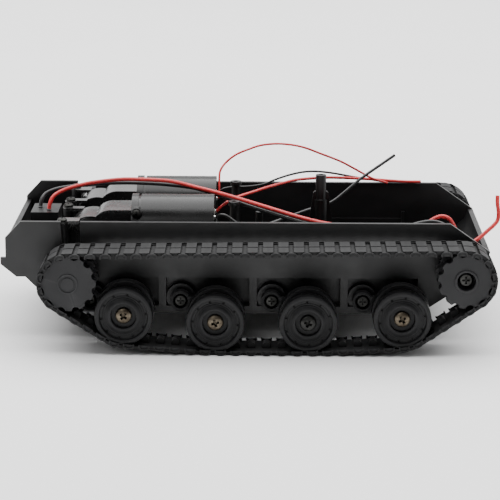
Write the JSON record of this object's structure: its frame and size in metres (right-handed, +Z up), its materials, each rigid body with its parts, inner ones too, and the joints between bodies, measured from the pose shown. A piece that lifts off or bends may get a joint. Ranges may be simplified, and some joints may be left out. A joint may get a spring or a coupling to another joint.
{
  "type": "tracked tank chassis",
  "caption": "Tracked robot chassis: open hull tub, geared motors driving toothed rear sprockets, front idlers, sprung road wheels, rubber tracks and loose motor leads.",
  "frame": {"origin": "on the ground under the middle of the tracks' footprint box, leads left out", "axes": "+X forward to the idlers, +Y to the left track, +Z up"},
  "size_m": [0.1943, 0.12, 0.0659],
  "materials": {
    "hull_plastic": "fine moulded grain, satin black",
    "case_plastic": "smooth moulded black",
    "sleeve_plastic": "glossy black",
    "wheel_plastic": "satin black",
    "track_rubber": "matt black rubber",
    "gear_nylon": "white nylon, satin",
    "cap_plastic": "off-white plastic with brass tabs",
    "plated_steel": "zinc plated",
    "bright_steel": "bright",
    "screw_steel": "warm nickel plate",
    "dark_screw": "black oxide",
    "red_insulation": "soft red vinyl",
    "black_insulation": "soft black vinyl"
  },
  "bodies": {
    "chassis": {"hull_tub": "hull_plastic", "motor_cans": "plated_steel", "motor_end_caps": "cap_plastic", "gear_pins": "bright_steel", "gearbox_screws": "screw_steel", "idler_screws": "dark_screw", "arm_pivot_screws": "dark_screw", "arm_springs": "bright_steel", "rear_red_lead": "red_insulation", "rear_black_lead": "black_insulation", "right_gearbox_outer_half": "case_plastic", "right_gearbox_inner_half": "case_plastic", "right_motor_sleeve": "sleeve_plastic", "right_track": "track_rubber", "right_motor_red_lead": "red_insulation", "right_motor_black_lead": "black_insulation", "left_gearbox_outer_half": "case_plastic", "left_gearbox_inner_half": "case_plastic", "left_motor_sleeve": "sleeve_plastic", "left_track": "track_rubber", "left_motor_red_lead": "red_insulation", "left_motor_black_lead": "black_insulation"},
    "right_drive": {"right_sprocket": "wheel_plastic", "right_drive_axle": "bright_steel", "right_output_gear": "gear_nylon"},
    "right_reduction": {"right_reduction_gear": "gear_nylon"},
    "right_crown": {"right_crown_gear": "gear_nylon"},
    "right_rotor": {"right_motor_rotor": "bright_steel"},
    "right_front_idler": {"right_idler": "wheel_plastic"},
    "right_arm_body_1": {"right_arm_1": "case_plastic", "right_wheel_screw_1": "screw_steel"},
    "right_wheel_1": {"right_road_wheel_1": "wheel_plastic"},
    "right_arm_body_2": {"right_arm_2": "case_plastic", "right_wheel_screw_2": "screw_steel"},
    "right_wheel_2": {"right_road_wheel_2": "wheel_plastic"},
    "right_arm_body_3": {"right_arm_3": "case_plastic", "right_wheel_screw_3": "dark_screw"},
    "right_wheel_3": {"right_road_wheel_3": "wheel_plastic"},
    "right_arm_body_4": {"right_arm_4": "case_plastic", "right_wheel_screw_4": "screw_steel"},
    "right_wheel_4": {"right_road_wheel_4": "wheel_plastic"},
    "left_drive": {"left_sprocket": "wheel_plastic", "left_drive_axle": "bright_steel", "left_output_gear": "gear_nylon"},
    "left_reduction": {"left_reduction_gear": "gear_nylon"},
    "left_crown": {"left_crown_gear": "gear_nylon"},
    "left_rotor": {"left_motor_rotor": "bright_steel"},
    "left_front_idler": {"left_idler": "wheel_plastic"},
    "left_arm_body_1": {"left_arm_1": "case_plastic", "left_wheel_screw_1": "screw_steel"},
    "left_wheel_1": {"left_road_wheel_1": "wheel_plastic"},
    "left_arm_body_2": {"left_arm_2": "case_plastic", "left_wheel_screw_2": "screw_steel"},
    "left_wheel_2": {"left_road_wheel_2": "wheel_plastic"},
    "left_arm_body_3": {"left_arm_3": "case_plastic", "left_wheel_screw_3": "dark_screw"},
    "left_wheel_3": {"left_road_wheel_3": "wheel_plastic"},
    "left_arm_body_4": {"left_arm_4": "case_plastic", "left_wheel_screw_4": "screw_steel"},
    "left_wheel_4": {"left_road_wheel_4": "wheel_plastic"}
  },
  "joints": [
    {"name": "right_sprocket_spin", "type": "hinge", "parent": "chassis", "child": "right_drive", "pos_m": [-0.067, -0.051, 0.0276], "axis": [0, 1, 0], "continuous": true},
    {"name": "right_reduction_spin", "type": "hinge", "parent": "chassis", "child": "right_reduction", "pos_m": [-0.06103, -0.0145, 0.03654], "axis": [0, 1, 0], "continuous": true},
    {"name": "right_crown_spin", "type": "hinge", "parent": "chassis", "child": "right_crown", "pos_m": [-0.053, -0.0125, 0.0406], "axis": [0, 1, 0], "continuous": true},
    {"name": "right_rotor_spin", "type": "hinge", "parent": "chassis", "child": "right_rotor", "pos_m": [-0.03, -0.0165, 0.0406], "axis": [1, 0, 0], "continuous": true},
    {"name": "right_idler_spin", "type": "hinge", "parent": "chassis", "child": "right_front_idler", "pos_m": [0.08305, -0.051, 0.0296], "axis": [0, 1, 0], "continuous": true},
    {"name": "right_arm_1_swing", "type": "hinge", "parent": "chassis", "child": "right_arm_body_1", "pos_m": [-0.0605, -0.0385, 0.0162], "axis": [0, -1, 0], "range_deg": [0, 14], "stiffness_Nm_per_rad": 0.03, "springref_deg": -11.46},
    {"name": "right_wheel_1_spin", "type": "hinge", "parent": "right_arm_body_1", "child": "right_wheel_1", "pos_m": [-0.04616, -0.051, 0.0149], "axis": [0, 1, 0], "continuous": true},
    {"name": "right_arm_2_swing", "type": "hinge", "parent": "chassis", "child": "right_arm_body_2", "pos_m": [-0.0253, -0.0385, 0.0162], "axis": [0, -1, 0], "range_deg": [0, 14], "stiffness_Nm_per_rad": 0.03, "springref_deg": -11.46},
    {"name": "right_wheel_2_spin", "type": "hinge", "parent": "right_arm_body_2", "child": "right_wheel_2", "pos_m": [-0.01141, -0.051, 0.0124], "axis": [0, 1, 0], "continuous": true},
    {"name": "right_arm_3_swing", "type": "hinge", "parent": "chassis", "child": "right_arm_body_3", "pos_m": [0.0099, -0.0385, 0.0162], "axis": [0, -1, 0], "range_deg": [0, 14], "stiffness_Nm_per_rad": 0.03, "springref_deg": -11.46},
    {"name": "right_wheel_3_spin", "type": "hinge", "parent": "right_arm_body_3", "child": "right_wheel_3", "pos_m": [0.02379, -0.051, 0.0124], "axis": [0, 1, 0], "continuous": true},
    {"name": "right_arm_4_swing", "type": "hinge", "parent": "chassis", "child": "right_arm_body_4", "pos_m": [0.0451, -0.0385, 0.0162], "axis": [0, -1, 0], "range_deg": [0, 14], "stiffness_Nm_per_rad": 0.03, "springref_deg": -11.46},
    {"name": "right_wheel_4_spin", "type": "hinge", "parent": "right_arm_body_4", "child": "right_wheel_4", "pos_m": [0.05936, -0.051, 0.0142], "axis": [0, 1, 0], "continuous": true},
    {"name": "left_sprocket_spin", "type": "hinge", "parent": "chassis", "child": "left_drive", "pos_m": [-0.067, 0.051, 0.0276], "axis": [0, 1, 0], "continuous": true},
    {"name": "left_reduction_spin", "type": "hinge", "parent": "chassis", "child": "left_reduction", "pos_m": [-0.06103, 0.0145, 0.03654], "axis": [0, 1, 0], "continuous": true},
    {"name": "left_crown_spin", "type": "hinge", "parent": "chassis", "child": "left_crown", "pos_m": [-0.053, 0.0125, 0.0406], "axis": [0, 1, 0], "continuous": true},
    {"name": "left_rotor_spin", "type": "hinge", "parent": "chassis", "child": "left_rotor", "pos_m": [-0.03, 0.0165, 0.0406], "axis": [1, 0, 0], "continuous": true},
    {"name": "left_idler_spin", "type": "hinge", "parent": "chassis", "child": "left_front_idler", "pos_m": [0.08305, 0.051, 0.0296], "axis": [0, 1, 0], "continuous": true},
    {"name": "left_arm_1_swing", "type": "hinge", "parent": "chassis", "child": "left_arm_body_1", "pos_m": [-0.0605, 0.0385, 0.0162], "axis": [0, -1, 0], "range_deg": [0, 14], "stiffness_Nm_per_rad": 0.03, "springref_deg": -11.46},
    {"name": "left_wheel_1_spin", "type": "hinge", "parent": "left_arm_body_1", "child": "left_wheel_1", "pos_m": [-0.04616, 0.051, 0.0149], "axis": [0, 1, 0], "continuous": true},
    {"name": "left_arm_2_swing", "type": "hinge", "parent": "chassis", "child": "left_arm_body_2", "pos_m": [-0.0253, 0.0385, 0.0162], "axis": [0, -1, 0], "range_deg": [0, 14], "stiffness_Nm_per_rad": 0.03, "springref_deg": -11.46},
    {"name": "left_wheel_2_spin", "type": "hinge", "parent": "left_arm_body_2", "child": "left_wheel_2", "pos_m": [-0.01141, 0.051, 0.0124], "axis": [0, 1, 0], "continuous": true},
    {"name": "left_arm_3_swing", "type": "hinge", "parent": "chassis", "child": "left_arm_body_3", "pos_m": [0.0099, 0.0385, 0.0162], "axis": [0, -1, 0], "range_deg": [0, 14], "stiffness_Nm_per_rad": 0.03, "springref_deg": -11.46},
    {"name": "left_wheel_3_spin", "type": "hinge", "parent": "left_arm_body_3", "child": "left_wheel_3", "pos_m": [0.02379, 0.051, 0.0124], "axis": [0, 1, 0], "continuous": true},
    {"name": "left_arm_4_swing", "type": "hinge", "parent": "chassis", "child": "left_arm_body_4", "pos_m": [0.0451, 0.0385, 0.0162], "axis": [0, -1, 0], "range_deg": [0, 14], "stiffness_Nm_per_rad": 0.03, "springref_deg": -11.46},
    {"name": "left_wheel_4_spin", "type": "hinge", "parent": "left_arm_body_4", "child": "left_wheel_4", "pos_m": [0.05936, 0.051, 0.0142], "axis": [0, 1, 0], "continuous": true}
  ],
  "couplings": [
    {"joint": "right_reduction_spin", "follows": "right_sprocket_spin", "ratio": -2.0714},
    {"joint": "right_crown_spin", "follows": "right_sprocket_spin", "ratio": 5.3857},
    {"joint": "right_rotor_spin", "follows": "right_sprocket_spin", "ratio": -16.157},
    {"joint": "left_reduction_spin", "follows": "left_sprocket_spin", "ratio": -2.0714},
    {"joint": "left_crown_spin", "follows": "left_sprocket_spin", "ratio": 5.3857},
    {"joint": "left_rotor_spin", "follows": "left_sprocket_spin", "ratio": 16.157}
  ]
}
